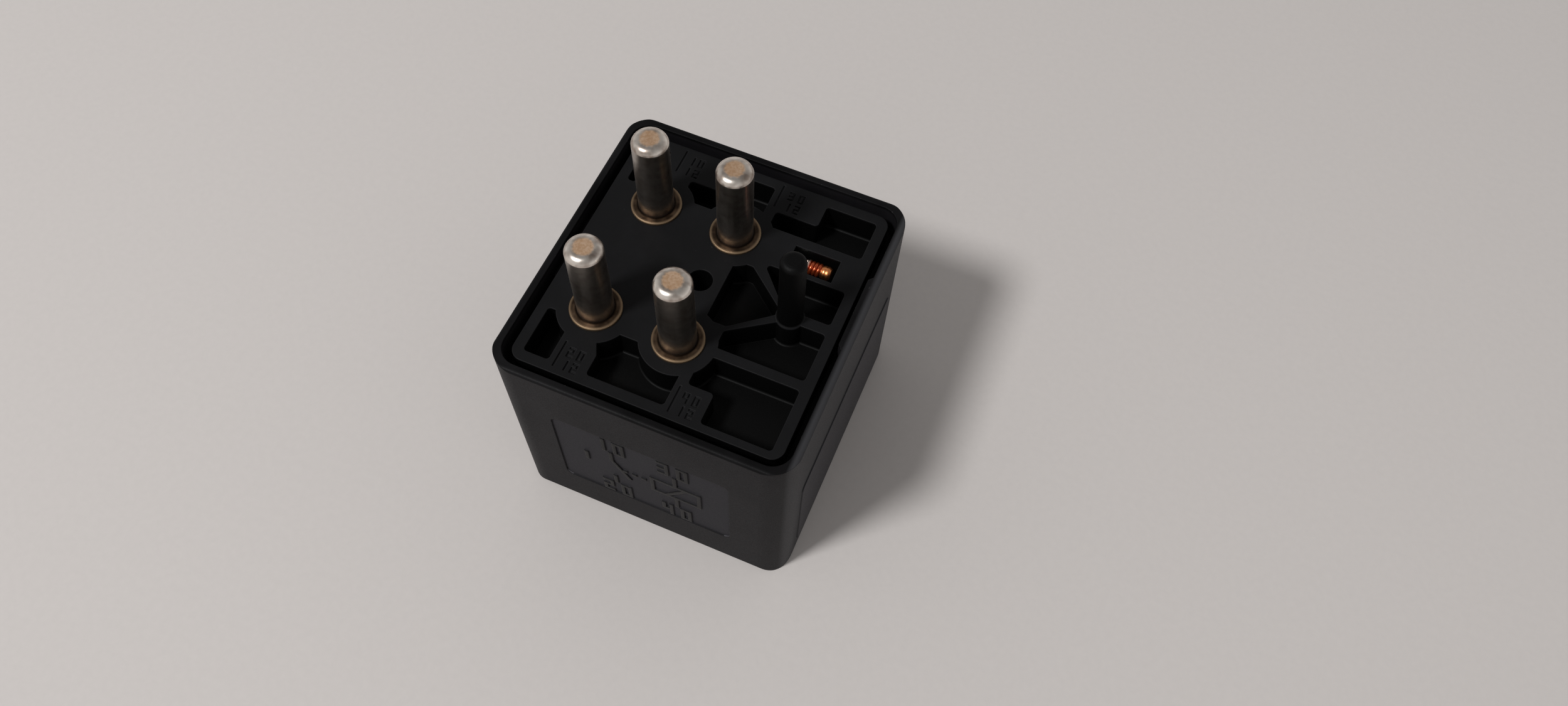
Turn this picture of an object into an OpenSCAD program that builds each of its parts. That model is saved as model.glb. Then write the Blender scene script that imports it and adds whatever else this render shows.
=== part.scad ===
// Plug-in automotive relay with four round contact pins and a keying pin.
// It stands on its closed end with the pins up. The origin is the middle of the
// bottom face, +Z runs along the pins and the front, with the wiring symbol, is -Y.
// Lengths are in millimetres and angles in degrees.

/* [Housing] */
// Width of the housing, left to right
body_w = 30; // [29:0.1:31]
// Depth of the housing, front to back
body_d = 31.4; // [30.6:0.1:32]
// Height of the housing, closed end to rim
body_h = 25.65; // [25.65:0.05:27]
// Radius of the four upright corners
corner_r = 2.8; // [2.4:0.1:3.4]
// Thickness of the side walls
wall = 0.8; // [0.7:0.05:0.9]
// Thickness of the closed end
end_wall = 1.2; // [1:0.1:1.3]
// Rounding of the edge between the closed end and the sides
foot_r = 0.8; // [0.4:0.1:1.2]

/* [Symbol field] */
// Width of the sunk field on the front
field_w = 18.3; // [16:0.1:20]
// Height of the sunk field on the front
field_h = 13; // [12.5:0.1:15]
// Depth of the sunk field
field_depth = 0.15; // [0.1:0.05:0.3]
// Width of the raised strokes
stroke = 0.42; // [0.3:0.01:0.5]

/* [Base] */
// Width of the base's visible face
face_w = 26.74; // [26.5:0.02:26.9]
// Depth of the base's visible face, front to back
face_d = 28.1; // [27.9:0.05:28.3]
// Height of the base's face above the closed end
face_z = 25.15; // [25:0.05:25.3]
// Depth of the moulded pockets
pocket_depth = 3; // [2.6:0.1:3.1]
// Radius of the solid boss left round each contact pin
boss_r = 3.7; // [3.5:0.05:3.75]

/* [Pins] */
// Distance between the contact pins, left to right
pitch_x = 8.4; // [8.3:0.05:8.5]
// Distance between the contact pins, front to back
pitch_y = 12.86; // [12.7:0.02:13]
// Radius of a contact pin
pin_r = 1.75; // [1.7:0.01:1.8]
// Height of the pins' ends above the closed end
pin_top_z = 35.2; // [34:0.1:36]
// Radius of a contact pin's flange
flange_r = 2.5; // [2.3:0.05:2.6]
// Radius of the moulded keying pin
key_r = 1.22; // [1.1:0.02:1.3]
// Height of the keying pin's end above the closed end
key_top_z = 34.5; // [33:0.1:36]

/* [Magnet] */
// Distance of the coil's axis to the right of the middle
coil_x = 2.6; // [2.5:0.05:2.7]
// Height of the core's pole face above the closed end
pole_z = 4.9; // [4.9:0.05:5]
// Outer radius of the wound wire
winding_r = 5.8; // [5:0.1:6]
// Thickness of the yoke
yoke_t = 1.5; // [1.4:0.05:1.5]
// Angle that the armature drops when it is released
release_deg = 2.5; // [2:0.1:2.5]

/* [Hidden] */
$fn = 64;

eps = 0.01;
inner_w = body_w - 2 * wall;
inner_d = body_d - 2 * wall;
inner_r = corner_r - wall;
pin_x = [-8.3, -8.3 + pitch_x];
key_x = pin_x[1] + pitch_x;
pin_y = pitch_y / 2;
pin_spots = [for (x = pin_x, y = [-pin_y, pin_y]) [x, y]];
rim_r = 0.35;           // rounding of the rim's outer edge
panel_t = 0.12;         // how far the right side's panel stands out
floor_z = face_z - pocket_depth;
skirt_top = 22.6;       // top of the base's wide skirt, under the snap tab
deck_z = 20.2;          // underside of the base
strap_t = 0.8;          // thickness of the straps under the base
strap_z = deck_z - strap_t;
seat_r = 2;             // thicker part of a contact pin, pressed into the base
tail_r = 1.1;           // riveted tail of a contact pin
flange_t = 0.3;
nose_r = 0.8;           // rounding of a contact pin's end
nose_lean = 12;         // where that rounding starts, off the upright
nose_z = pin_top_z - nose_r * (1 - sin(nose_lean));
yoke_y = 4.5;           // half width of the yoke
yoke_out = coil_x + 8.7;
yoke_in = yoke_out - yoke_t;
core_r = 2.4;
air = 0.05;             // air left between the armature and the pole at full travel
arm_t = 1.3;
arm_top = pole_z - air;
blade_t = 0.3;
blade_z = arm_top - arm_t - blade_t;
contact_x = pin_x[0];
contact_top = blade_z + 1.05;
spring_x = yoke_out + 1.3;
wrap_y = 6.5;
wrap_z = 24;
lead_r = 0.19;
pocket_x = [-12.33, 12.3];  // the pockets' outer walls, left and right
key_root_z = face_z + 0.15;  // where the keying pin's thicker root ends
root_r = 1.4;
pocket_y = 13;          // the pockets' outer walls, front and back
rib = 0.55;             // half width of the rib between the keying pin and the right edge
slot_x = [6, 10.63];
slot_y = [4.95, 7.55];

// ---- Shapes that several pieces use ----

// A rectangle with true round corners.
module rounded(w, d, r) {
    square([w - 2 * r, d], center = true);
    square([w, d - 2 * r], center = true);
    for (x = [-1, 1], y = [-1, 1]) translate([x * (w / 2 - r), y * (d / 2 - r)]) circle(r);
}

// A polygon with every corner rounded, inward ones too.
module soft(p, r) {
    n = len(p);
    turn = [for (i = [0:n - 1]) cross(p[i], p[(i + 1) % n])] * [for (i = [1:n]) 1];
    // of each corner: where its arc starts, ends and has its centre, and whether it points outward
    corners = [for (i = [0:n - 1])
               let (a = unit(p[(i + n - 1) % n] - p[i]), b = unit(p[(i + 1) % n] - p[i]),
                    half = acos(a * b) / 2)
               [p[i] + a * r / tan(half), p[i] + b * r / tan(half), p[i] + unit(a + b) * r / sin(half),
                cross(a, b) * turn < 0]];
    difference() {
        union() {
            polygon([for (c = corners) each [c[0], c[1]]]);
            for (c = corners) if (c[3]) translate(c[2]) circle(r);
        }
        for (c = corners) if (!c[3]) translate(c[2]) circle(r);
    }
}

// The upright section of the housing, with its foot and rim rounded.
module section(w) {
    translate([-w / 2 + foot_r, 0]) square([w - 2 * foot_r, body_h / 2]);
    translate([-w / 2, foot_r]) square([w, body_h - foot_r - rim_r]);
    translate([-w / 2 + rim_r, body_h / 2]) square([w - 2 * rim_r, body_h / 2]);
    for (x = [-1, 1]) {
        translate([x * (w / 2 - foot_r), foot_r]) circle(foot_r);
        translate([x * (w / 2 - rim_r), body_h - rim_r]) circle(rim_r);
    }
}

// A box between two corners.
module box(a, b) translate(a) cube(b - a);

// A flat piece from z0 up to z1.
module layer(z0, z1) translate([0, 0, z0]) linear_extrude(z1 - z0) children();

// A flat rectangle between two corners.
module rect(a, b) translate(a) square(b - a);

// The strokes of plain figures: top, upper left, upper right, middle, lower left, lower right, bottom.
FIGURES = [[1, 1, 1, 0, 1, 1, 1], [0, 0, 1, 0, 0, 1, 0], [1, 0, 1, 1, 1, 0, 1],
           [1, 0, 1, 1, 0, 1, 1], [0, 1, 1, 1, 0, 1, 0]];
module figure(n, w, h, s) {
    strokes = [[[0, h - s], [w, h]], [[0, h / 2], [s, h]], [[w - s, h / 2], [w, h]],
               [[0, (h - s) / 2], [w, (h + s) / 2]], [[0, 0], [s, h / 2]], [[w - s, 0], [w, h / 2]],
               [[0, 0], [w, s]]];
    for (i = [0:6]) if (FIGURES[n][i] == 1) rect(strokes[i][0], strokes[i][1]);
}

// A two-figure number, centred.
module number(n, w, h, s) translate([-w - s, -h / 2]) {
    figure(floor(n / 10), w, h, s);
    translate([w + 2 * s, 0]) figure(n % 10, w, h, s);
}

// A round wire of radius r along a list of points, closed at both ends.
function unit(v) = v / norm(v);
function heading(p, i) = unit(p[min(i + 1, len(p) - 1)] - p[max(i - 1, 0)]);
// A direction across the wire at each point, carried along so that the wire doesn't twist.
function sides_of(p, u, i = 0) = i == len(p) ? [] :
    let (t = heading(p, i), w = unit(u - (u * t) * t)) concat([w], sides_of(p, w, i + 1));
module wire(p, r, sides = 8) {
    u = sides_of(p, [0.31, 0.83, 0.47]);
    rings = [for (i = [0:len(p) - 1]) let (v = cross(heading(p, i), u[i]))
             for (k = [0:sides - 1]) p[i] + r * (cos(360 * k / sides) * u[i] + sin(360 * k / sides) * v)];
    last = (len(p) - 1) * sides;
    walls = [for (i = [0:len(p) - 2], k = [0:sides - 1]) let (n = (k + 1) % sides)
             [i * sides + k, (i + 1) * sides + k, (i + 1) * sides + n, i * sides + n]];
    ends = [[for (k = [0:sides - 1]) k], [for (k = [sides - 1:-1:0]) last + k]];
    polyhedron(rings, concat(walls, ends), convexity = 10);
}

// Points of a coil of wire whose axis runs along +X from the origin.
function turns(n, r, pitch, steps = 14) =
    [for (i = [0:n * steps]) [pitch * i / steps, r * cos(360 * i / steps), r * sin(360 * i / steps)]];

// ---- Mouldings ----

// The wiring symbol: a contact on the left, a coil on the right, numbers at the four ends.
module symbol() {
    h = stroke / 2;
    for (x = [-3.2, 3.4], z = [4.95, -5]) translate([x, z])
        number(x < 0 ? (z > 0 ? 10 : 20) : (z > 0 ? 30 : 40), 1.2, 2.6, 0.4);
    rect([-3.2 - h, 1.6], [-3.2 + h, 3.6]);
    rect([-3.2 - h, -3.7], [-3.2 + h, -1.9]);
    translate([-3.2, 1.8]) rotate(28) rect([-h, -3.7], [h, 0]);
    rect([-6.2, -0.2], [-6.2 + stroke, 1.6]);
    for (z = [-1.6, 1.2]) rect([0.8, z], [6.2, z + stroke]);
    for (x = [0.8, 6.2 - stroke]) rect([x, -1.6], [x + stroke, 1.2 + stroke]);
    translate([3.5, -0.03]) rotate(-38) rect([-h, -1.7], [h, 1.7]);
    for (z = [[1.4, 3.6], [-3.7, -1.6]]) rect([3.5 - h, z[0]], [3.5 + h, z[1]]);
    for (x = [-1.9, -0.9, 0.1]) rect([x - 0.25, 0], [x + 0.25, stroke]);
}

module front(z) translate([0, -body_d / 2, z]) rotate([90, 0, 0]) children();

module housing() color([0.15, 0.15, 0.155]) {
    field_z = 12.4;
    difference() {
        intersection() {
            layer(0, body_h) rounded(body_w, body_d, corner_r);
            rotate([90, 0, 90]) translate([0, 0, -body_w]) linear_extrude(2 * body_w) section(body_d);
            rotate([90, 0, 0]) translate([0, 0, -body_d]) linear_extrude(2 * body_d) section(body_w);
        }
        layer(end_wall, body_h + 1) rounded(inner_w, inner_d, inner_r);
        front(field_z) translate([0, 0, -field_depth]) linear_extrude(1) difference() {
            rounded(field_w, field_h, 0.8);
            symbol();
        }
    }
    translate([body_w / 2 - wall / 2, 0, 9]) rotate([90, 0, 90])
        linear_extrude(wall / 2 + panel_t) rounded(23.6, 13.6, 0.7);
    // the snap tab inside the right rim, and a ridge low in the groove on the left
    layer(skirt_top + 0.1, body_h - 0.05) translate([inner_w / 2, 0])
        polygon([[0.1, -1.8], [-0.42, -1.2], [-0.42, 6.4], [0.1, 7]]);
    box([-inner_w / 2 - 0.1, -4, skirt_top + 0.1], [-inner_w / 2 + 0.3, 4, skirt_top + 1]);
}

module bosses() for (p = pin_spots) translate(p) circle(boss_r);

// The plan of the blind pockets in the base's face.
module pockets() {
    l = pocket_x[0];
    r = pocket_x[1];
    e = pocket_y;
    difference() {
        for (p = [[[l, 8.07], [-9.74, 8.07], [-9.74, e], [l, e]],
                  [[l, -e], [-9.74, -e], [-9.74, -8.07], [l, -8.07]],
                  [[-5.98, -e], [-5.98, -10.9], [-6.6, -9.65], [-5.5, -8.07], [1.75, -8.07], [1.75, -e]],
                  [[2.8, -10.2], [2.8, -7.9], [3.8, -6.8], [r, -6.8], [r, -13.3], [5.4, -13.3],
                   [5.4, -10.2]],
                  [[3.5, -5.78], [3.5, -3.9], [7.46, -1.14], [key_x, -rib], [r, -rib], [r, -5.78]],
                  [[1.38, -3.38], [3.5, -3.38], [key_x - 1.3, -0.4], [key_x - 1.3, 0.4], [3.2, 3.65],
                   [1.38, 3.65]],
                  [[4, 4.46], [6.6, 1.6], [key_x, rib], [r, rib], [r, 4.46]],
                  [[2.68, 8.55], [r, 8.55], [r, e], [7.05, e], [7.05, 10.43], [2.68, 10.43]],
                  [[-6.46, 8.1], [1.58, 8.1], [1.58, e], [-3.5, e], [-3.5, 10.43], [-6.46, 10.43]]])
            soft(p, 0.36);
        bosses();
        translate([key_x, 0]) circle(key_r);
    }
}

// The small number on each of the four places beside the pins.
module places() {
    for (p = [[-7.7, -11.55, 20], [3.75, -11.55, 40], [-6.9, 12.7, 10], [3.9, 12.7, 30]], row = [0, 1])
        translate([p[0], p[1] - 1.35 * row]) number(row == 0 ? p[2] : 12, 0.62, 1.05, 0.2);
    for (p = [[-9.2, -13.4], [2.24, -13.4], [-8.42, 10.9], [2.15, 10.9]]) rect(p, p + [0.2, 2.8]);
}

module base() color([0.13, 0.13, 0.135]) {
    fillet = 0.3;
    difference() {
        union() {
            layer(skirt_top - eps, face_z) rounded(face_w, face_d, 1.25);
            layer(deck_z, skirt_top) rounded(inner_w - 0.1, inner_d - 0.1, inner_r - 0.05);
        }
        layer(floor_z, face_z + 1) pockets();
        layer(face_z - 0.15, face_z + 1) places();
        for (p = pin_spots) translate([p[0], p[1], deck_z - 1]) cylinder(r = seat_r, h = 10);
        layer(deck_z - 1, face_z + 1) rect([slot_x[0], slot_y[0]], [slot_x[1], slot_y[1]]);
        translate([-0.76, 0.24, deck_z - 1]) cylinder(r = 1.2, h = 10);
        box([-13.62, 1.48, deck_z - 1], [-12.98, 5.52, deck_z + 1.3]);
    }
    // the keying pin, with a rounded end and a thicker root
    round_r = 0.55;
    round_z = key_top_z - round_r;
    translate([key_x, 0, floor_z - 1]) cylinder(r = key_r, h = round_z - floor_z + 1);
    translate([key_x, 0, round_z - eps]) rotate_extrude() intersection() {
        translate([key_r - round_r, 0]) circle(round_r);
        square(key_r);
    }
    translate([key_x, 0, round_z - eps]) cylinder(r = key_r - round_r, h = round_r + eps);
    translate([key_x, 0, floor_z - 1]) cylinder(r = root_r, h = key_root_z - floor_z + 0.8);
    translate([key_x, 0, key_root_z - 0.2]) cylinder(r1 = root_r, r2 = key_r, h = 0.2);
    translate([key_x, 0, floor_z - eps]) rotate_extrude() translate([root_r - eps, 0]) foot(fillet);
    // rounded feet of the pocket walls that face the front
    difference() {
        union() {
            for (p = pin_spots) translate([p[0], p[1], floor_z - eps])
                rotate_extrude() translate([boss_r - eps, 0]) foot(fillet);
            for (w = [[3.8, pocket_x[1], -6.8], [7.05, pocket_x[1], pocket_y], [-3.5, 1.58, pocket_y],
                      [-4.9, -3.3, -8.07], [9.5, pocket_x[1], -rib], [5, pocket_x[1], 4.46]])
                translate([w[0], w[2], floor_z - eps]) rotate([90, 0, 90]) linear_extrude(w[1] - w[0])
                    mirror([1, 0]) foot(fillet);
        }
        for (p = pin_spots) translate([p[0], p[1], 0]) cylinder(r = seat_r, h = 50);
        box([slot_x[0], slot_y[0], 0], [slot_x[1], slot_y[1], 50]);
    }
}

// A hollow rounding between a floor and a wall; its thin lips are blunt.
module foot(r) difference() {
    square(0.8 * r);
    translate([r, r]) circle(1.02 * r);
}

// ---- Contact pins ----

module pin(p) color([0.8, 0.79, 0.76]) translate([p[0], p[1], 0]) {
    flat_r = pin_r - nose_r * cos(nose_lean);
    translate([0, 0, deck_z]) cylinder(r = seat_r, h = face_z - deck_z);
    translate([0, 0, face_z]) cylinder(r = pin_r, h = nose_z - face_z);
    translate([0, 0, nose_z]) rotate_extrude() intersection() {
        union() {
            translate([flat_r, -nose_r * sin(nose_lean)]) circle(nose_r);
            square([flat_r, pin_top_z - nose_z]);
        }
        square([pin_r, pin_top_z - nose_z]);
    }
    translate([0, 0, face_z]) cylinder(r = flange_r, h = flange_t - 0.1);
    translate([0, 0, face_z + flange_t - 0.1]) cylinder(r1 = flange_r, r2 = flange_r - 0.1, h = 0.1);
    translate([0, 0, strap_z]) cylinder(r = tail_r, h = strap_t);
    translate([0, 0, strap_z - 0.5]) cylinder(r1 = 1.2, r2 = 1.5, h = 0.5);
}
module common_pin() pin([pin_x[0], pin_y]);
module output_pin() pin([pin_x[0], -pin_y]);
module coil_pin_a() pin([pin_x[1], pin_y]);
module coil_pin_b() pin([pin_x[1], -pin_y]);

// ---- Straps under the base ----

// A flat strap under the base with its pin's hole.
module strap(p) layer(strap_z, deck_z) difference() {
    children();
    translate(p) circle(tail_r);
}

module common_strap() color([0.75, 0.55, 0.3]) strap([pin_x[0], pin_y]) {
    rect([-10, 1.5], [-6.6, 8]);
    rect([-8, 1.5], [yoke_in - 10, 4.2]);
}

module output_strap() color([0.75, 0.55, 0.3]) {
    strap([pin_x[0], -pin_y]) rect([-12.4, -8.1], [-6.6, -4.8]);
    box([-12.4, -8.1, contact_top + 0.8], [-12.4 + strap_t, -4.8, deck_z]);
    layer(contact_top + 0.8, contact_top + 0.8 + strap_t) difference() {
        rect([-12.4, -8.1], [-6.6, 1.7]);
        translate([contact_x, 0]) circle(0.8);
    }
}

module coil_strap_a() color([0.78, 0.76, 0.7]) {
    strap([pin_x[1], pin_y]) {
        rect([-1.6, 4.85], [1.9, 8]);
        rect([1.9, 5.6], [7, 7.4]);
    }
    box([6.4, 5.9, strap_z], [7, 7.1, wrap_z + 0.25]);
    box([6.4, wrap_y - 0.25, wrap_z - 0.25], [10.05, wrap_y + 0.25, wrap_z + 0.25]);
}

module coil_strap_b() color([0.78, 0.76, 0.7]) strap([pin_x[1], -pin_y]) {
    rect([-1.6, -8], [1.9, -4.85]);
    rect([1.9, -7.5], [5, -5.9]);
}

// ---- Magnet ----

module yoke() color([0.62, 0.63, 0.65]) {
    difference() {
        box([yoke_in - 11.7, -yoke_y, strap_z - yoke_t], [yoke_out, yoke_y, strap_z]);
        translate([coil_x, 0, 0]) cylinder(r = 1.9, h = 30);
    }
    box([yoke_in, -yoke_y, pole_z], [yoke_out, yoke_y, strap_z - yoke_t / 2]);
    difference() {
        box([yoke_out - 0.2, -1.2, 14.4], [yoke_out + 2, 1.2, 15.4]);
        translate([spring_x, 0, 0]) cylinder(r = 0.3, h = 30);
    }
}

module core() color([0.62, 0.63, 0.65]) translate([coil_x, 0, 0]) {
    translate([0, 0, pole_z]) cylinder(r = 4, h = 0.9);
    translate([0, 0, pole_z]) cylinder(r = core_r, h = strap_z - yoke_t - pole_z);
    translate([0, 0, strap_z - yoke_t - eps]) cylinder(r = 1.9, h = yoke_t + 0.4);
    translate([0, 0, strap_z]) cylinder(r1 = 2.3, r2 = 1.9, h = 0.4);
}

bobbin_z = [pole_z + 1, strap_z - yoke_t - 0.1];
cheek_t = 0.9;
module bobbin() color([0.85, 0.83, 0.78]) translate([coil_x, 0, 0]) difference() {
    union() {
        translate([0, 0, bobbin_z[0]]) cylinder(r = core_r + 0.7, h = bobbin_z[1] - bobbin_z[0]);
        for (z = [bobbin_z[0], bobbin_z[1] - cheek_t]) translate([0, 0, z]) cylinder(r = 6.5, h = cheek_t);
    }
    cylinder(r = core_r + 0.05, h = 40);
}

module winding() color([0.6, 0.2, 0.08]) translate([coil_x, 0, bobbin_z[0] + cheek_t]) difference() {
    cylinder(r = winding_r, h = bobbin_z[1] - bobbin_z[0] - 2 * cheek_t);
    translate([0, 0, -1]) cylinder(r = core_r + 0.7, h = 40);
}

// The lead comes up through the slot and is wrapped on the strap's tongue.
module coil_lead_a() color([0.65, 0.2, 0.08]) {
    wrap = [for (p = turns(4, 0.53, 2 * lead_r)) [9, wrap_y, wrap_z] + [-p[0], p[1], p[2]]];
    lead = [[6.8, 4.25, 16.3], [7.6, 5, 16.3], [8.6, 5.8, 16.5], [9.3, 6.5, 17], [9.45, 7, 18],
            [9.45, 7.1, 19.2], [9.45, 7.12, 21], [9.35, 7.12, 22.8], [9.15, 7.08, 23.6]];
    wire(concat(lead, wrap), lead_r);
}

module coil_lead_b() color([0.65, 0.2, 0.08]) {
    x = coil_x + 0.7;
    wire([[coil_x, -5.95, 16.3], [coil_x + 0.4, -6.4, 16.3], [x, -6.9, 16.8], [x, -6.95, 17.6],
          [x, -6.95, strap_z]], lead_r);
}

module lead_joint() color([0.9, 0.45, 0.2]) translate([9.08, wrap_y, wrap_z]) rotate([0, 90, 0])
    difference() {
        union() {
            cylinder(r = 0.68, h = 0.66);
            translate([0, 0, -0.06]) cylinder(r1 = 0.56, r2 = 0.68, h = 0.06);
            translate([0, 0, 0.66]) cylinder(r1 = 0.68, r2 = 0.56, h = 0.06);
        }
        translate([-0.25, -0.25, -1]) cube([0.5, 0.5, 3]);
    }

// ---- Contact and springs that stay with the base ----

module fixed_contact() color([0.85, 0.84, 0.8]) translate([contact_x, 0, 0]) {
    translate([0, 0, contact_top + 0.05]) cylinder(r = 1.6, h = 0.75);
    translate([0, 0, contact_top + 0.8 - eps]) cylinder(r = 0.8, h = strap_t + 2 * eps);
    translate([0, 0, contact_top + 0.8 + strap_t]) cylinder(r1 = 1.2, r2 = 0.9, h = 0.35);
}

// The blade's tip rests on it when the coil is off.
module back_stop() color([0.7, 0.7, 0.7]) {
    top = blade_z - 21.8 * sin(release_deg) - 0.05;
    box([-13.6, 1.5, top - 0.6], [-13, 5.5, deck_z + 1.2]);
    box([-13.6, -1.5, top - 0.6], [-9.7, 5.5, top]);
}

module return_spring() color([0.8, 0.8, 0.8]) {
    coils = [for (p = turns(11, 0.8, 0.6)) [spring_x + p[1], p[2], 5.9 + p[0]]];
    hook = [[spring_x + 0.6, 0, arm_top - arm_t - 0.25], [spring_x, 0, arm_top - arm_t - 0.25],
            [spring_x, 0, arm_top - 0.6], [spring_x, 0, 5.3]];
    hanger = [[spring_x, 0, 13.1], [spring_x, 0, 14.4], [spring_x, 0, 15.65], [spring_x - 0.6, 0, 15.65]];
    wire(concat(hook, coils, hanger), 0.14, 6);
}

// Flat copper braid from the yoke's outer face, under the heel, to the blade.
module braid() color([0.75, 0.42, 0.25]) {
    t = 0.6;
    w = [2.2, 4.2];
    low = blade_z - 0.95;
    bend = 0.5;
    box([yoke_out + 0.02, w[0], low + t + bend], [yoke_out + 0.02 + t, w[1], 9.5]);
    translate([yoke_out + 0.02 - bend, w[0], low + t + bend]) rotate([-90, 0, 0])
        linear_extrude(w[1] - w[0]) intersection() {
            difference() {
                circle(bend + t);
                circle(bend);
            }
            square(bend + t);
        }
    box([5.2, w[0], low], [yoke_out + 0.02 - bend, w[1], low + t]);
}

// ---- Pieces that move together ----

// Drawn closed, then let down about the yoke's outer lower edge.
module released() translate([yoke_out, 0, pole_z]) rotate([0, -release_deg, 0])
    translate([-yoke_out, 0, -pole_z]) children();

rivet_spots = [[-3, 1.3], [-3, -1.3]];

module armature() color([0.62, 0.63, 0.65]) released() layer(arm_top - arm_t, arm_top) difference() {
    union() {
        rect([-4.6, -4.3], [yoke_out - 0.2, 4.3]);
        rect([yoke_out - 0.3, -1.2], [yoke_out + 1.95, 1.2]);
    }
    translate([spring_x, 0]) circle(0.4);
    for (p = rivet_spots) translate(p) circle(0.5);
}

module contact_blade() color([0.8, 0.6, 0.35]) released() layer(blade_z, blade_z + blade_t) difference() {
    rect([-11.2, -2.1], [8.4, 2.1]);
    translate([contact_x, 0]) circle(0.7);
    for (p = rivet_spots) translate(p) circle(0.5);
}

module blade_rivets() color([0.8, 0.8, 0.8]) released() for (p = rivet_spots) translate([p[0], p[1], 0]) {
    translate([0, 0, blade_z]) cylinder(r = 0.5, h = arm_top - blade_z);
    translate([0, 0, arm_top]) cylinder(r1 = 0.9, r2 = 0.6, h = 0.3);
    translate([0, 0, blade_z - 0.3]) cylinder(r1 = 0.6, r2 = 0.9, h = 0.3);
}

module moving_contact() color([0.85, 0.84, 0.8]) released() translate([contact_x, 0, 0]) {
    translate([0, 0, blade_z + blade_t]) cylinder(r = 1.5, h = contact_top - blade_z - blade_t);
    translate([0, 0, blade_z]) cylinder(r = 0.7, h = blade_t);
    translate([0, 0, blade_z - 0.25]) cylinder(r1 = 0.8, r2 = 1.1, h = 0.25);
}

housing();
base();
common_pin();
output_pin();
coil_pin_a();
coil_pin_b();
common_strap();
output_strap();
coil_strap_a();
coil_strap_b();
yoke();
core();
bobbin();
winding();
coil_lead_a();
coil_lead_b();
lead_joint();
fixed_contact();
back_stop();
return_spring();
braid();
armature();
contact_blade();
blade_rivets();
moving_contact();
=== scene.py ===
"""A plug-in automotive relay, standing on its closed end with its pins up.

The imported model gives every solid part. This file gives each of them its finish, works out
the fine pieces that a solid model leaves plain (the wound wire, the coil's leads, the braid
and the spring), and sets up a plain studio.
"""

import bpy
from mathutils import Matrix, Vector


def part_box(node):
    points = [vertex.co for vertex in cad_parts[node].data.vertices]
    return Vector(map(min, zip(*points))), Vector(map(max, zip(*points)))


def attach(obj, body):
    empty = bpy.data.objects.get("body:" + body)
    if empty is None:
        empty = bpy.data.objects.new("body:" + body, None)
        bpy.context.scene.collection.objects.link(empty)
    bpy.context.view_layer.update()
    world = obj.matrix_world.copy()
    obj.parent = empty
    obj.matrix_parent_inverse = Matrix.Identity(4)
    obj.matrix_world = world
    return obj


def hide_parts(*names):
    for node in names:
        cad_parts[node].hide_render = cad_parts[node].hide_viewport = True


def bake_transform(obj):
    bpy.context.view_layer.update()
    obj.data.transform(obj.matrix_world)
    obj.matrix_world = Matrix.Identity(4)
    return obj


bl_info = {
    "name": "Automotive relay",
    "version": (1, 0, 0),
    "blender": (4, 5, 0),
    "location": "3D View > Sidebar > Relay",
    "description": "Dresses a plug-in automotive relay and sets up a plain studio",
    "category": "Object",
}

import bpy
import numpy as np
from bpy.props import FloatProperty, FloatVectorProperty, IntProperty, PointerProperty
from mathutils import Matrix, Vector

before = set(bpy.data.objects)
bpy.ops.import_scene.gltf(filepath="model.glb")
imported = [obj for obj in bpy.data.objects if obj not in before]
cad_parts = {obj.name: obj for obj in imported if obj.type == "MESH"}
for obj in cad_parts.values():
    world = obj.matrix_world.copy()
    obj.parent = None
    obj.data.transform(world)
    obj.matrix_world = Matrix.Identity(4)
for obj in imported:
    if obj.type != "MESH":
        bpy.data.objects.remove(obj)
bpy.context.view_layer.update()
MM = 0.001
FIXED = "relay"

# places on the relay, in millimetres
FRONT_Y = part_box("housing")[0][1] / MM          # front of the housing and of the raised strokes
FIELD_FLOOR_Y = FRONT_Y + 0.15                  # sunk floor of the symbol field
FIELD_WALL_Y = FRONT_Y + 0.08                   # the low wall round that floor
FIELD_Z = 12.4                                  # middle of the field
PANEL_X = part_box("housing")[1][0] / MM          # low panel on the right side
# off this level the base is painted near black, painted shade in its pockets
UNSHADED_FACE_Z = 25.1                                  # between the base's face and its engraved places
FLANGE_Z = 25.3                                 # middle of the pins' flanges
PIN_TOP_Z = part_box("common_pin")[1][2] / MM     # flat ends of the pins
PINS_X, PINS_HALF_X, PINS_HALF_Y = -4.1, 4.2, 6.43    # middle of the four pins, and their offsets
TONGUE_Y, TONGUE_Z = 6.5, 24                    # axis of the tongue that the lead is wrapped on


def linear(code):
    """An sRGB hex colour as linear red, green, blue and alpha."""
    c = np.array([int(code[i:i + 2], 16) for i in (1, 3, 5)]) / 255.0
    c = np.where(c <= 0.04045, c / 12.92, ((c + 0.055) / 1.055) ** 2.4)
    return (float(c[0]), float(c[1]), float(c[2]), 1.0)


def colour(name, description, code):
    """A colour setting whose default is the given sRGB hex value."""
    return FloatVectorProperty(name=name, description=description, subtype="COLOR", size=4,
                               min=0.0, max=1.0, default=linear(code))


def length(name, description, mm):
    """A length setting, given in millimetres."""
    return FloatProperty(name=name, description=description, unit="LENGTH", subtype="DISTANCE",
                         min=0.0, precision=5, default=mm * MM)


# ---- Settings ----


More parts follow.
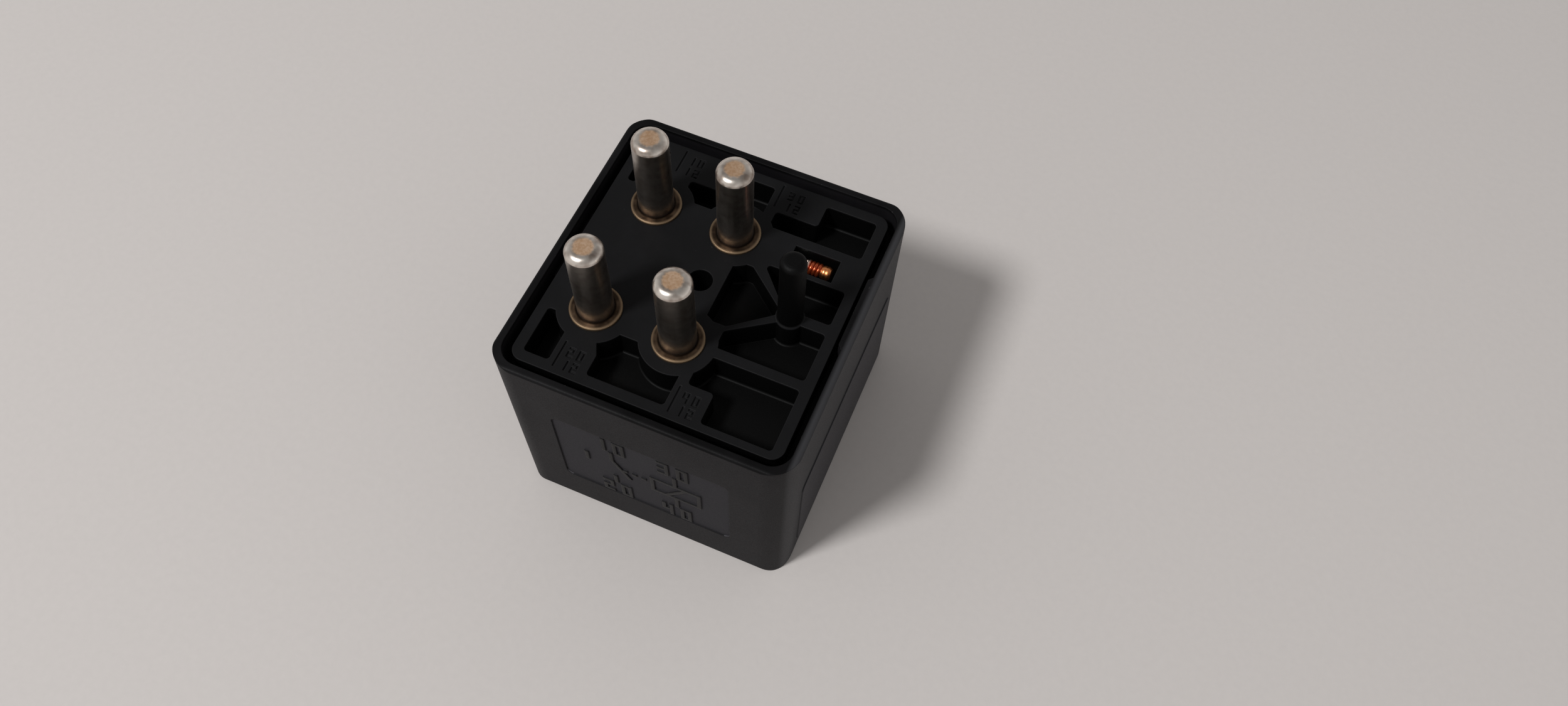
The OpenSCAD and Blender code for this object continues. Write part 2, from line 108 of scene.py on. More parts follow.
class RelayFinishes(bpy.types.PropertyGroup):
    """Colours of the relay's materials."""

    housing: colour("Housing", "Black nylon of the housing", "#151416")
    housing_field: colour("Symbol field", "Eroded floor round the raised symbol", "#2d2c2f")
    base: colour("Base", "Black nylon of the base", "#101011")
    wear: colour("Worn edge", "Nylon rubbed pale along an edge", "#6a686a")
    silver: colour("Silver plate", "Silver plate of the pins", "#d6cec5")
    tarnish: colour("Tarnish", "Tarnished plate of the flanges", "#33281f")
    pin_end: colour("Pin end", "Worn plate on the flat end of a pin", "#c9a888")
    enamel: colour("Enamelled wire", "Lacquered copper wire of the coil", "#a03c1c")
    copper: colour("Bare copper", "Clean copper of the joint and the braid", "#eb9a63")
    brass: colour("Brass", "Rolled brass of the straps and the blade", "#c7a061")
    iron: colour("Zinc plate", "Zinc plate of the iron parts", "#b9bbbe")


class RelaySizes(bpy.types.PropertyGroup):
    """Sizes of the fine pieces."""

    turn: length("Wire pitch", "Distance between neighbouring turns of the winding", 0.2)
    lead: length("Lead thickness", "Diameter of the wire that leaves the coil", 0.38)
    spring_wire: length("Spring wire", "Diameter of the return spring's wire", 0.28)
    grit: length("Mould grit", "Size of the grain that the mould leaves on the nylon", 0.11)
    sides: IntProperty(name="Wire sides", description="Flats round each wire", default=14, min=6, max=32)


class RelayStage(bpy.types.PropertyGroup):
    """The plain studio round the relay."""

    floor: colour("Floor", "Pale paper that the relay stands on", "#c3bebb")
    key: FloatProperty(name="Key light", description="Power of the light at the front left",
                       unit="POWER", default=5.9, min=0.0)
    walls: FloatProperty(name="Walls", description="Brightness of the room at eye level",
                         default=0.8, min=0.0)
    ceiling: FloatProperty(name="Ceiling", description="Brightness of the room overhead",
                           default=0.22, min=0.0)
    key_size: length("Key size", "Width of the light at the front left", 170)


# ---- Surfaces ----


def grid_faces(rows, cols, wrap_rows=False):
    """Quads of a grid of rows x cols points: corners (i, j), (i, j+1), (i+1, j+1) and (i+1, j)."""
    i, j = np.meshgrid(np.arange(rows if wrap_rows else rows - 1), np.arange(cols), indexing="ij")
    a, b = (i + 1) % rows, (j + 1) % cols
    return np.stack([i * cols + j, i * cols + b, a * cols + b, a * cols + j], axis=-1).reshape(-1, 4)


def make_piece(name, points, quads, fans, material, slot, replaced, bend=None):
    """Puts points, quads and end fans into a closed smooth mesh.

    Without bend it rides on the fixed body. With bend it is attached to no body, and only its transform is
    baked into its mesh.
    """
    mesh = bpy.data.meshes.new(name)
    faces = [tuple(q) for q in quads.tolist()] + [tuple(f) for f in fans]
    mesh.from_pydata(points.reshape(-1, 3).tolist(), [], faces)
    mesh.validate()
    mesh.shade_smooth()
    mesh.materials.append(material)
    piece = bpy.data.objects.new(name, mesh)
    bpy.context.scene.collection.objects.link(piece)
    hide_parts(replaced)
    if bend is None:
        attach(piece, FIXED)
    else:
        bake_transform(piece)
    return piece


def curve_through(route, per_span):
    """A smooth Catmull-Rom curve through the route's points.

    Between b and c it is 0.5 (2b + (c - a) t + (2a - 5b + 4c - d) t^2 + (3b - a - 3c + d) t^3).
    """
    p = np.asarray(route, float)
    p = np.vstack([2 * p[0] - p[1], p, 2 * p[-1] - p[-2]])
    k = np.arange(len(p) - 3)
    t = np.linspace(0, 1, per_span, endpoint=False)[None, :, None]
    a, b, c, d = (p[k + n][:, None, :] for n in range(4))
    q = 0.5 * (2 * b + (c - a) * t + (2 * a - 5 * b + 4 * c - d) * t**2 + (3 * b - a - 3 * c + d) * t**3)
    return np.vstack([q.reshape(-1, 3), p[-2]])


def carried_frames(path):
    """Tangent and two directions across it at each station; the cross direction is carried without twist."""
    t = np.gradient(path, axis=0)
    t /= np.linalg.norm(t, axis=1, keepdims=True)
    u = np.empty_like(t)
    # any direction does that no route starts along
    w = np.array([0.31, 0.83, 0.47])
    for i, along in enumerate(t):
        w = w - along * (w @ along)
        w = w / np.linalg.norm(w)
        u[i] = w
    return t, u, np.cross(t, u)


def wire(path, radius, sides):
    """A round wire with domed ends: path(s) + radius (cos a U(s) + sin a V(s)) for station s and angle a.

    The two rings past each end shrink by the cosine and move out by the sine of 45 and 80 degrees.
    """
    t, u, v = carried_frames(path)
    dome = np.radians([80, 45])
    rise = radius * np.sin(dome)[:, None]
    path = np.vstack([path[0] - rise * t[0], path, path[-1] + rise[::-1] * t[-1]])
    u = np.vstack([u[0], u[0], u, u[-1], u[-1]])
    v = np.vstack([v[0], v[0], v, v[-1], v[-1]])
    size = np.concatenate([np.cos(dome), np.ones(len(t)), np.cos(dome)[::-1]]) * radius
    a = np.linspace(0, 2 * np.pi, sides, endpoint=False)
    ring = np.cos(a)[None, :, None] * u[:, None] + np.sin(a)[None, :, None] * v[:, None]
    points = path[:, None] + size[:, None, None] * ring
    rows = len(path)
    fans = [tuple(range(sides - 1, -1, -1)), tuple((rows - 1) * sides + k for k in range(sides))]
    return points, grid_faces(rows, sides), fans


def wound_wire(axis_x, z0, z1, inner, outer, pitch):
    """The winding: one closed outline (r, z) turned about the coil's axis.

    The outer side is the outline of side-by-side wires climbing one pitch each turn:
    r = outer - (pitch / 2) (1 - |cos(pi (z / pitch - a / 2 pi))|), for height z and angle a.
    """
    a = np.linspace(0, 2 * np.pi, 72, endpoint=False)
    z = np.linspace(z0, z1, int((z1 - z0) / pitch * 5))
    groove = (pitch / 2) * (1 - np.abs(np.cos(np.pi * (z[:, None] / pitch - a[None] / (2 * np.pi)))))
    r = np.vstack([np.full(len(a), inner), np.full(len(a), outer - pitch / 2), outer - groove,
                   np.full(len(a), outer - pitch / 2), np.full(len(a), inner)])
    heights = np.concatenate([[z0, z0], z, [z1, z1]])[:, None] + 0 * a[None]
    points = np.stack([axis_x + r * np.cos(a), r * np.sin(a), heights], axis=-1)
    return points, grid_faces(len(r), len(a), wrap_rows=True), []


def ridged_bead(start, end, y, z, hole, radius):
    """A soldered bead about the tongue's axis, turned from a closed outline.

    For t from 0 to 1 along it, r = h + (radius - h) (1 - |2t - 1|^3)^(1/3), less a shallow ripple
    of three turns of wire, 0.03 mm (1 - |cos 3 pi t|), where it is over 0.1 mm thick. The hole's
    radius h narrows to a third at the far end, where the bead closes over the tongue's tip.
    """
    t = np.linspace(0, 1, 41)
    h = hole * (1 - t**4 * 2 / 3)
    r = h + (radius - h) * (1 - np.abs(2 * t - 1) ** 3) ** (1 / 3)
    ripple = 0.03 * MM * (1 - np.abs(np.cos(3 * np.pi * t)))
    r -= ripple * (r > h + 0.1 * MM)
    x = start + (end - start) * t
    a = np.linspace(0, 2 * np.pi, 40, endpoint=False)
    points = np.stack([x[:, None] + 0 * a, y + r[:, None] * np.cos(a), z + r[:, None] * np.sin(a)], axis=-1)
    return points, grid_faces(len(t), len(a), wrap_rows=True), []


def woven_strap(path, across, width, thick, strand):
    """A flat braid: a rounded oblong carried along a path, raised by two sets of strands crossing over it.

    For distance s along and q round the section, the skin rises by the relief times the larger of
    sin(2 pi (q + s) / strand) and sin(2 pi (q - s) / strand).
    """
    relief = 0.06 * MM
    t = np.gradient(path, axis=0)
    t /= np.linalg.norm(t, axis=1, keepdims=True)
    w = np.broadcast_to(across, t.shape)
    n = np.cross(t, w)
    a = np.linspace(0, 2 * np.pi, 72, endpoint=False)
    flat = (np.abs(np.cos(a)) ** 6 + np.abs(np.sin(a)) ** 6) ** (-1 / 6)
    along_w, along_n = np.cos(a) * flat * width / 2, np.sin(a) * flat * thick / 2
    s = np.concatenate([[0], np.cumsum(np.linalg.norm(np.diff(path, axis=0), axis=1))])[:, None]
    q = (a / (2 * np.pi) * 2 * (width + thick))[None]
    rise = relief * np.maximum(np.sin(2 * np.pi * (q + s) / strand), np.sin(2 * np.pi * (q - s) / strand))
    grow = 1 - 2 * relief / thick + 2 * rise / thick
    points = (path[:, None] + (along_w * np.minimum(grow, 1))[..., None] * w[:, None]
              + (along_n * grow)[..., None] * n[:, None])
    rows, cols = len(path), len(a)
    fans = [tuple(range(cols - 1, -1, -1)), tuple((rows - 1) * cols + k for k in range(cols))]
    return points, grid_faces(rows, cols), fans


# ---- Finishes ----


def add(material, kind, inputs=None, **settings):
    """Adds one node with its settings; an input is a value or the output that it is linked to."""
    tree = material.node_tree
    n = tree.nodes.new(kind)
    for key, value in settings.items():
        setattr(n, key, value)
    for key, value in (inputs or {}).items():
        if isinstance(value, bpy.types.NodeSocket):
            tree.links.new(value, n.inputs[key])
        else:
            n.inputs[key].default_value = value
    return n


def new_material(name):
    """An empty material, its shader, and its object coordinates."""
    m = bpy.data.materials.new(name)
    m.use_nodes = True
    m.node_tree.nodes.clear()
    shader = add(m, "ShaderNodeBsdfPrincipled")
    add(m, "ShaderNodeOutputMaterial", {"Surface": shader.outputs[0]})
    return m, shader, add(m, "ShaderNodeTexCoord").outputs["Object"]


def maths(m, operation, *values):
    """The result of one operation on the values, in order."""
    return add(m, "ShaderNodeMath", dict(enumerate(values)), operation=operation).outputs[0]


def separate(m, where):
    """The x, y and z of a place."""
    return add(m, "ShaderNodeSeparateXYZ", {0: where}).outputs


def near(m, value, centre, reach):
    """1 where a coordinate lies within reach of centre, both in millimetres."""
    return maths(m, "COMPARE", value, centre * MM, reach * MM)


def product(m, *factors):
    """The factors multiplied together."""
    out = factors[0]
    for f in factors[1:]:
        out = maths(m, "MULTIPLY", out, f)
    return out


def mixed(m, factor, first, second):
    """A colour between first and second."""
    n = add(m, "ShaderNodeMix", {"Factor": factor}, data_type="RGBA")
    for socket, value in ((n.inputs[6], first), (n.inputs[7], second)):
        if isinstance(value, bpy.types.NodeSocket):
            m.node_tree.links.new(value, socket)
        else:
            socket.default_value = value
    return n.outputs[2]


def ranged(m, value, low, high, to_low, to_high):
    """A value carried from one range to another, and held at its ends."""
    return add(m, "ShaderNodeMapRange", {0: value, 1: low, 2: high, 3: to_low, 4: to_high}).outputs[0]


def noise(m, where, size_mm, detail=2.0, rough=0.5):
    """Soft noise whose features are about size_mm across."""
    return add(m, "ShaderNodeTexNoise", {"Vector": where, "Scale": 1000.0 / size_mm, "Detail": detail,
                                         "Roughness": rough}).outputs["Fac"]


def edge_of(m, radius_mm):
    """The rounded normal of an edge, and how far it leans from the face's own: 0 on a flat, 1 on an edge."""
    bevel = add(m, "ShaderNodeBevel", {"Radius": radius_mm * MM}, samples=6).outputs[0]
    face = add(m, "ShaderNodeNewGeometry").outputs["True Normal"]
    lean = add(m, "ShaderNodeVectorMath", {0: bevel, 1: face}, operation="DOT_PRODUCT").outputs["Value"]
    return bevel, ranged(m, lean, 0.97, 0.75, 0.0, 1.0)


def finish(m, shader, tone, rough):
    """Links a colour and a roughness to the shader."""
    m.node_tree.links.new(tone, shader.inputs["Base Color"])
    m.node_tree.links.new(rough, shader.inputs["Roughness"])


def grained(m, shader, height, normal, strength, depth_mm):
    """Links a normal to the shader, roughened by a height of up to depth_mm."""
    bump = add(m, "ShaderNodeBump", {"Strength": strength, "Distance": depth_mm * MM, "Height": height,
                                     "Normal": normal})
    m.node_tree.links.new(bump.outputs[0], shader.inputs["Normal"])


def on_field(m, xyz, half):
    """1 within an oblong about the middle of the symbol field; half its width and height in millimetres."""
    return product(m, near(m, xyz[0], 0, half[0]), near(m, xyz[2], FIELD_Z, half[1]))


def housing_nylon(s, sizes):
    """Glass-filled nylon 66, injection moulded in a spark-eroded mould: black, with a fine matt grain."""
    m, shader, where = new_material("glass_filled_nylon_spark_eroded")
    xyz = separate(m, where)
    # half width and half height of the field with its wall, of its floor alone, and of what the strokes cover
    whole, inner, drawn = (9.13, 6.48), (8.92, 6.27), (8.9, 6.35)
    # the raised strokes are polished in the mould, and the floor round them is eroded; the strokes'
    # near-black tone is painted shade and painted dark reflection
    window = on_field(m, xyz, whole)
    floor = product(m, window, near(m, xyz[1], FIELD_FLOOR_Y, 0.03))
    strokes = product(m, window, near(m, xyz[1], FRONT_Y, 0.03), on_field(m, xyz, drawn))
    panel = near(m, xyz[0], PANEL_X, 0.04)
    # the right side is painted paler, a painted reflection of the floor it faces, and its low panel a little
    # more
    side_reflection_from, side_reflection_to = 14.2 * MM, 14.6 * MM
    right = ranged(m, xyz[0], side_reflection_from, side_reflection_to, 0.0, 1.0)
    grit = noise(m, where, sizes.grit / MM, 3.0, 0.6)
    cloud = noise(m, where, 7.0, 3.0, 0.55)
    round_normal, edge = edge_of(m, 0.16)
    # rubbed edges: the pale glass shows in short specks
    specks = ranged(m, noise(m, where, 0.45, 4.0, 0.7), 0.62, 0.7, 0.0, 1.0)
    wear = product(m, edge, specks, 0.55)
    tone = mixed(m, floor, s.housing, s.housing_field)
    # painted shade and painted dark reflection: the raised strokes painted near black
    tone = mixed(m, strokes, tone, linear("#030303"))
    # the field's low wall is painted paler than its floor, a painted highlight over its shade, so its border
    # stays soft
    border = maths(m, "SUBTRACT", window, on_field(m, xyz, inner))
    wall = near(m, xyz[1], FIELD_WALL_Y, 0.06)
    # painted highlight on the field's low wall
    tone = mixed(m, product(m, border, wall), tone, linear("#4a494c"))
    # painted shade: the rim's top is painted near black
    rim_shade_from, rim_shade_to = 25.2 * MM, 25.4 * MM
    tone = mixed(m, ranged(m, xyz[2], rim_shade_from, rim_shade_to, 0.0, 0.8), tone, linear("#040404"))
    # painted reflection: the right side and its low panel painted paler
    tone = mixed(m, right, tone, linear("#343436"))
    tone = mixed(m, panel, tone, linear("#38373a"))
    tone = mixed(m, ranged(m, cloud, 0.35, 0.7, 0.0, 0.22), tone, linear("#2a292b"))
    tone = mixed(m, wear, tone, s.wear)
    rough = ranged(m, grit, 0.3, 0.7, 0.42, 0.56)
    rough = maths(m, "ADD", rough, product(m, floor, 0.16))
    rough = maths(m, "SUBTRACT", rough, product(m, strokes, 0.16))
    finish(m, shader, tone, rough)
    grained(m, shader, grit, round_normal, maths(m, "ADD", floor, 0.4), 0.018)
    shader.inputs["IOR"].default_value = 1.5
    shader.inputs["Specular IOR Level"].default_value = 0.07
    return m


def base_nylon(s, sizes):
    """Glass-filled nylon 66, injection moulded in a plain mould: darker and closer than the housing."""
    m, shader, where = new_material("glass_filled_nylon_moulded")
    grit = noise(m, where, sizes.grit / MM * 0.9, 3.0, 0.6)
    cloud = noise(m, where, 4.0, 4.0, 0.6)
    round_normal, edge = edge_of(m, 0.12)
    tone = mixed(m, ranged(m, cloud, 0.4, 0.75, 0.0, 0.35), s.base, linear("#1a1a1c"))
    dust = ranged(m, noise(m, where, 0.3, 2.0, 0.5), 0.78, 0.82, 0.0, 0.25)
    tone = mixed(m, product(m, edge, 0.08), tone, s.wear)
    tone = mixed(m, dust, tone, s.wear)
    # only the face is dusty; the base off it is painted near black: painted shade in the pockets below it,
    # and darker on the keying pin above it
    tone = mixed(m, near(m, separate(m, where)[2], UNSHADED_FACE_Z, 0.12), linear("#030303"), tone)
    finish(m, shader, tone, ranged(m, grit, 0.3, 0.7, 0.46, 0.6))
    grained(m, shader, grit, round_normal, 0.5, 0.016)
    shader.inputs["IOR"].default_value = 1.5
    shader.inputs["Specular IOR Level"].default_value = 0.1
    return m


def plated_pin(s):
    """Silver plate on turned brass: satin, with the shank painted darker than the rounded end as a painted
    dark reflection.

    It is worn to a tan patch on the flat tip, and tarnished brown on the flange, which has a painted
    highlight on its rim and painted shade in its corner against the shank.
    """
    m, shader, where = new_material("silver_plated_brass_turned")
    xyz = separate(m, where)
    # distance from the middle of whichever pin is nearest
    across = maths(m, "ADD", xyz[0], -PINS_X * MM)
    sides = [maths(m, "SUBTRACT", maths(m, "ABSOLUTE", value), half * MM)
             for value, half in ((across, PINS_HALF_X), (xyz[1], PINS_HALF_Y))]
    flat = add(m, "ShaderNodeCombineXYZ", {0: sides[0], 1: sides[1]}).outputs[0]
    radius = add(m, "ShaderNodeVectorMath", {0: flat}, operation="LENGTH").outputs["Value"]
    flange = near(m, xyz[2], FLANGE_Z, 0.18)
    patch = noise(m, where, 1.1, 2.0, 0.5)
    fine = noise(m, where, 0.25, 3.0, 0.6)
    # the worn patch on the tip has a ragged rim
    ragged = maths(m, "MULTIPLY_ADD", fine, 0.5 * MM, radius)
    tip = product(m, near(m, xyz[2], PIN_TOP_Z, 0.1), ranged(m, ragged, 1.05 * MM, 1.3 * MM, 1.0, 0.0))
    nose_from, nose_to = 34.4 * MM, 34.7 * MM
    stain = product(m, ranged(m, patch, 0.4, 0.7, 0.0, 1.0), ranged(m, xyz[2], nose_from, nose_to, 0.6, 0.85))
    tone = mixed(m, stain, s.silver, linear("#85756a"))
    # the shank is painted darker than the rounded end: a painted dark reflection
    dark_reflection_from, dark_reflection_to = 34.3 * MM, 34.6 * MM
    tone = mixed(m, ranged(m, xyz[2], dark_reflection_from, dark_reflection_to, 0.45, 0.0), tone, linear("#6f655c"))
    tone = mixed(m, product(m, tip, 0.8), tone, s.pin_end)
    tone = mixed(m, product(m, tip, ranged(m, fine, 0.4, 0.6, 0.0, 0.5)), tone, linear("#a98460"))
    # the flange: clouded brown tarnish, with a painted highlight on its rim and painted shade, nearly black,
    # in the corner against the shank
    brown = mixed(m, ranged(m, patch, 0.4, 0.65, 0.0, 1.0), s.tarnish, linear("#5c4b3c"))
    # painted highlight on the flange's rim
    brown = mixed(m, ranged(m, radius, 2.2 * MM, 2.4 * MM, 0.0, 0.8), brown, linear("#8d7860"))
    # painted shade in the corner against the shank
    brown = mixed(m, ranged(m, radius, 2.0 * MM, 1.85 * MM, 0.0, 1.0), brown, linear("#1c1510"))
    tone = mixed(m, flange, tone, brown)
    rough = ranged(m, patch, 0.3, 0.7, 0.28, 0.31)
    for share, change in ((tip, 0.3), (flange, 0.2)):
        rough = maths(m, "MULTIPLY_ADD", share, change, rough)
    finish(m, shader, tone, rough)
    # only the flange's edge is sharp in the solid, so only there is it softened
    round_normal, _ = edge_of(m, 0.1)
    plain = add(m, "ShaderNodeNewGeometry").outputs["Normal"]
    normal = add(m, "ShaderNodeMix", {"Factor": flange, 4: plain, 5: round_normal}, data_type="VECTOR")
    m.node_tree.links.new(normal.outputs[1], shader.inputs["Normal"])
    shader.inputs["Metallic"].default_value = 1.0
    return m


def sheet_metal(name, tone, shade, rough, grain, lines_mm, softening=0.06):
    """Metal strip, plate or wire: a tone clouded by a shade, with fine lines and softened edges.

    Grain scales the lines' noise along x, y and z, so they run along an axis that is scaled down.
    """
    m, shader, where = new_material(name)
    rolled = add(m, "ShaderNodeMapping", {"Vector": where, "Scale": grain}).outputs[0]
    lines = noise(m, rolled, lines_mm, 3.0, 0.6)
    cloud = noise(m, where, 2.2, 4.0, 0.6)
    round_normal, edge = edge_of(m, softening)
    tone = mixed(m, ranged(m, cloud, 0.35, 0.7, 0.0, 0.7), tone, shade)
    tone = mixed(m, product(m, edge, 0.3), tone, linear("#e8e6e2"))
    finish(m, shader, tone, ranged(m, lines, 0.3, 0.7, rough, rough + 0.14))
    grained(m, shader, lines, round_normal, 0.15, 0.01)
    shader.inputs["Metallic"].default_value = 1.0
    return m


def natural_nylon():
    """Unfilled nylon, injection moulded: milky, with a soft wax-like gloss."""
    m, shader, where = new_material("natural_nylon_moulded")
    cloud = noise(m, where, 3.0, 3.0, 0.5)
    tone = mixed(m, cloud, linear("#d8d2c0"), linear("#c8c0aa"))
    finish(m, shader, tone, ranged(m, cloud, 0.3, 0.7, 0.32, 0.44))
    round_normal, _ = edge_of(m, 0.1)
    m.node_tree.links.new(round_normal, shader.inputs["Normal"])
    shader.inputs["IOR"].default_value = 1.53
    return m


def lacquered_copper(s):
    """Enamelled copper wire: red-brown metal under a clear lacquer, pale where it was scraped."""
    m, shader, where = new_material("enamelled_copper_drawn")
    xyz = separate(m, where)
    cloud = noise(m, where, 0.5, 3.0, 0.6)
    tone = mixed(m, cloud, s.enamel, linear("#bd5a30"))
    # the last turn on the tongue was scraped and tinned
    scraped_from, scraped_to = 7.9 * MM, 7.7 * MM
    scraped = product(m, ranged(m, xyz[0], scraped_from, scraped_to, 0.0, 1.0),
                      near(m, xyz[2], TONGUE_Z, 0.75))
    tone = mixed(m, scraped, tone, linear("#d8c2b6"))
    finish(m, shader, tone, ranged(m, cloud, 0.3, 0.7, 0.22, 0.38))
    shader.inputs["Metallic"].default_value = 0.85
    shader.inputs["Coat Weight"].default_value = 0.4
    shader.inputs["Coat Roughness"].default_value = 0.15
    return m


def bare_copper(s):
    """Clean copper, drawn: warm and bright, dulled in patches."""
    m, shader, where = new_material("bare_copper_drawn")
    cloud = noise(m, where, 0.35, 4.0, 0.6)
    tone = mixed(m, ranged(m, cloud, 0.4, 0.75, 0.0, 0.8), s.copper, linear("#b4673c"))
    finish(m, shader, tone, ranged(m, cloud, 0.3, 0.7, 0.28, 0.42))
    shader.inputs["Metallic"].default_value = 1.0
    return m


def paper(s):
    """Matt studio paper: an even pale tone with a faint tooth."""
    m, shader, where = new_material("studio_paper_matt")
    tooth = noise(m, where, 0.8, 3.0, 0.6)
    tone = mixed(m, ranged(m, tooth, 0.3, 0.7, 0.0, 0.12), s.floor, linear("#aeaaa8"))
    finish(m, shader, tone, ranged(m, tooth, 0.3, 0.7, 0.8, 0.9))
    shader.inputs["Specular IOR Level"].default_value = 0.2
    return m


def dress(material, *nodes):
    """Gives solid parts of the frame their finish."""
    for name in nodes:
        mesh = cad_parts[name].data
        mesh.materials.clear()
        mesh.materials.append(material)


# ---- Operators ----


class RELAY_OT_mouldings(bpy.types.Operator):
    """Finish the housing, the base and the coil's bobbin"""

    bl_idname = "relay.mouldings"
    bl_label = "Mouldings"

    def execute(self, context):
        s, sizes = context.scene.relay_finishes, context.scene.relay_sizes
        dress(housing_nylon(s, sizes), "housing")
        dress(base_nylon(s, sizes), "base")
        dress(natural_nylon(), "bobbin")
        return {"FINISHED"}


class RELAY_OT_pins(bpy.types.Operator):
    """Finish the four contact pins"""

    bl_idname = "relay.pins"
    bl_label = "Contact pins"

    def execute(self, context):
        dress(plated_pin(context.scene.relay_finishes),
              "common_pin", "output_pin", "coil_pin_a", "coil_pin_b")
        return {"FINISHED"}


class RELAY_OT_metal_parts(bpy.types.Operator):
    """Finish the straps, the iron parts, the contacts and the blade"""

    bl_idname = "relay.metal_parts"
    bl_label = "Straps, iron and contacts"

    def execute(self, context):
        s = context.scene.relay_finishes
        # rolled strip: straight faint lines in the length, and a thin bright sheared edge
        brass = sheet_metal("rolled_brass_strip", s.brass, linear("#a9854f"), 0.26, (0.05, 1, 1), 0.12)
        tinned = sheet_metal("tinned_copper_strip", linear("#c9c7c2"), linear("#a9a59d"),
                             0.3, (1, 0.05, 1), 0.15)
        # electroplated zinc: even bluish grey, a little cloudy, edges rounded by tumbling
        iron = sheet_metal("zinc_plated_iron", s.iron, linear("#8f9296"), 0.34, (1, 1, 1), 0.4, 0.12)
        # bonded silver-tin buttons: pale, matt from the press
        silver = sheet_metal("contact_silver_pressed", linear("#dedad4"), linear("#bdb8b0"),
                             0.3, (1, 1, 1), 0.2)
        dress(brass, "common_strap", "output_strap", "contact_blade")
        dress(tinned, "coil_strap_a", "coil_strap_b")
        dress(iron, "yoke", "core", "armature", "back_stop", "blade_rivets")
        dress(silver, "fixed_contact", "moving_contact")
        return {"FINISHED"}


class RELAY_OT_coil(bpy.types.Operator):
    """Make the wound wire, the coil's two leads and the soldered joint on the tongue"""

    bl_idname = "relay.coil"
    bl_label = "Coil and leads"

    def execute(self, context):
        s, sizes = context.scene.relay_finishes, context.scene.relay_sizes
        wire_finish = lacquered_copper(s)
        low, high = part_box("winding")
        axis_x = (low[0] + high[0]) / 2
        tube_radius = 3.1 * MM
        shape = wound_wire(axis_x, low[2], high[2], tube_radius, (high[0] - low[0]) / 2, sizes.turn)
        make_piece("wound_wire", *shape, wire_finish, "enamelled_copper", "winding")

        # up through the slot, then four turns round the tongue
        y, z = TONGUE_Y * MM, TONGUE_Z * MM
        turns, wrap_radius, wrap_start = 4, 0.53 * MM, 9 * MM
        lead = np.array([[6.8, 4.25, 16.3], [7.6, 5, 16.3], [8.6, 5.8, 16.5], [9.3, 6.5, 17], [9.45, 7, 18],
                         [9.45, 7.1, 19.2], [9.45, 7.12, 21], [9.35, 7.12, 22.8], [9.15, 7.08, 23.6]]) * MM
        turn = np.linspace(0, turns, turns * 28 + 1)
        wraps = np.stack([wrap_start - sizes.lead * turn, y + wrap_radius * np.cos(2 * np.pi * turn),
                          z + wrap_radius * np.sin(2 * np.pi * turn)], axis=-1)
        # a point further round the wrap steers the end of the curve, and its span is cut off again
        start = curve_through(np.vstack([lead, wraps[0], wraps[4]]), 8)[:-8]
        path = np.vstack([start[:-1], wraps])
        make_piece("coil_lead_wrap", *wire(path, sizes.lead / 2, sizes.sides), wire_finish,
                   "enamelled_copper", "coil_lead_a")

        # from the winding's end out and up to the second strap
        x, top = axis_x / MM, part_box("coil_lead_b")[1][2] / MM
        lead = np.array([[x, -5.95, 16.3], [x + 0.4, -6.4, 16.3], [x + 0.7, -6.9, 16.8],
                         [x + 0.7, -6.95, 17.6], [x + 0.7, -6.95, top]]) * MM
        make_piece("coil_lead_plain", *wire(curve_through(lead, 10), sizes.lead / 2, sizes.sides),
                   wire_finish, "enamelled_copper", "coil_lead_b")

        # the bead runs past the tongue's end and closes over it
        low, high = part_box("lead_joint")
        bead_end, hole = 10.2 * MM, 0.3 * MM
        make_piece("lead_bead", *ridged_bead(low[0], bead_end, y, z, hole, (high[1] - low[1]) / 2),
                   bare_copper(s), "bare_copper", "lead_joint")
        return {"FINISHED"}


